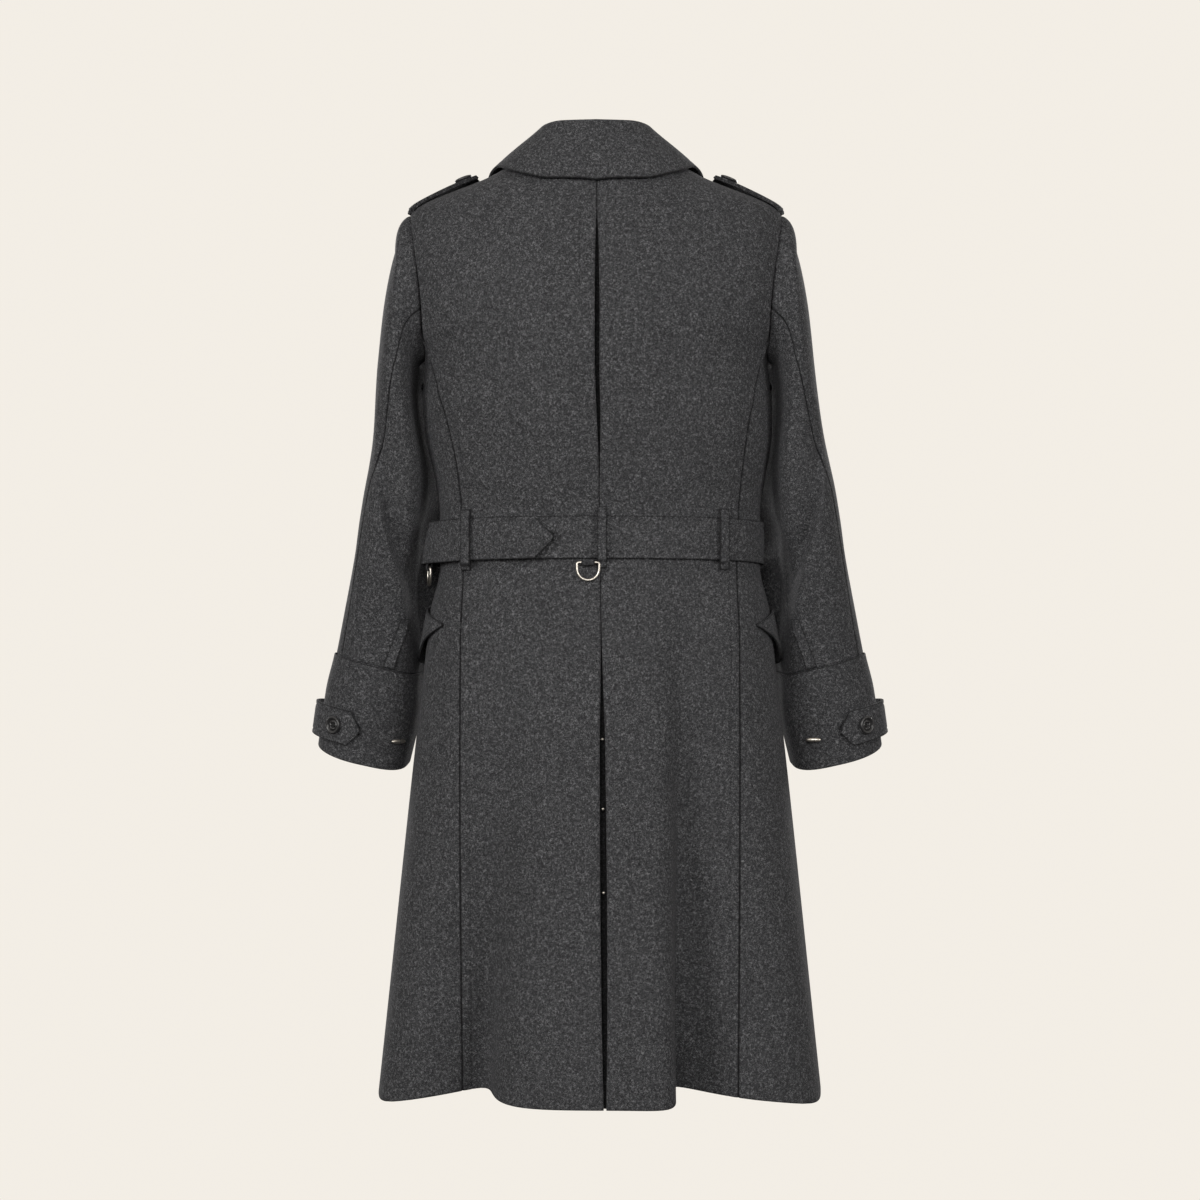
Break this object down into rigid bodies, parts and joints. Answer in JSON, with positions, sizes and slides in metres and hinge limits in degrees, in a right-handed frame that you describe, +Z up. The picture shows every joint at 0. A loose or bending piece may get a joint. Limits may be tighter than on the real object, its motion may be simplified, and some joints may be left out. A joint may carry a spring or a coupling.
{
  "type": "double-breasted wool coat",
  "caption": "Double-breasted belted wool coat, filled out and hollow, with a back pleat, turned-down collar, shoulder straps, strapped cuffs and D-rings at the belt",
  "frame": {"origin": "middle of the shoulders, where the wearer carries the coat", "axes": "+Z up, +Y out of the coat's front, +X to the wearer's right"},
  "size_m": [0.6396, 0.3564, 1.0552],
  "materials": {
    "wool": "charcoal brushed wool",
    "horn": "black, polished",
    "nickel": "pale nickel",
    "black_metal": "black enamel"
  },
  "bodies": {
    "coat": {"back_left": "wool", "back_right": "wool", "belt": "wool", "belt_buckle": "horn", "belt_loop_centre": "wool", "belt_loop_left": "wool", "belt_loop_right": "wool", "collar_leaf": "wool", "collar_stand": "wool", "cuff_button_left": "horn", "cuff_button_right": "horn", "cuff_left": "wool", "cuff_right": "wool", "cuff_strap_left": "wool", "cuff_strap_right": "wool", "cuff_toggle_left": "nickel", "cuff_toggle_right": "nickel", "d_ring_tab_back": "wool", "d_ring_tab_left": "wool", "epaulette_button_left": "horn", "epaulette_button_right": "horn", "epaulette_left": "wool", "epaulette_right": "wool", "eyelet_left": "black_metal", "eyelet_right": "black_metal", "front_button_left_1": "horn", "front_button_left_2": "horn", "front_button_left_3": "horn", "front_button_left_4": "horn", "front_button_right_1": "horn", "front_button_right_2": "horn", "front_button_right_3": "horn", "front_button_right_4": "horn", "front_left": "wool", "front_right": "wool", "gusset_left": "wool", "gusset_right": "wool", "lapel_left": "wool", "lapel_right": "wool", "pleat_stud_1": "nickel", "pleat_stud_2": "nickel", "pleat_stud_3": "nickel", "pleat_underlay": "wool", "pocket_flap_left": "wool", "pocket_flap_right": "wool", "side_left": "wool", "side_right": "wool", "sleeve_top_left": "wool", "sleeve_top_right": "wool", "sleeve_under_left": "wool", "sleeve_under_right": "wool"},
    "ring_back": {"d_ring_back": "nickel"},
    "ring_left": {"d_ring_left": "nickel"}
  },
  "joints": [
    {"name": "ring_back_swing", "type": "hinge", "parent": "coat", "child": "ring_back", "pos_m": [-0.01265, -0.11295, -0.42401], "axis": [-0.9998, 0.0223, 0], "range_deg": [0, 95]},
    {"name": "ring_left_swing", "type": "hinge", "parent": "coat", "child": "ring_left", "pos_m": [-0.18664, -0.02065, -0.42874], "axis": [-0.1809, 0.9835, 0], "range_deg": [0, 35]}
  ]
}
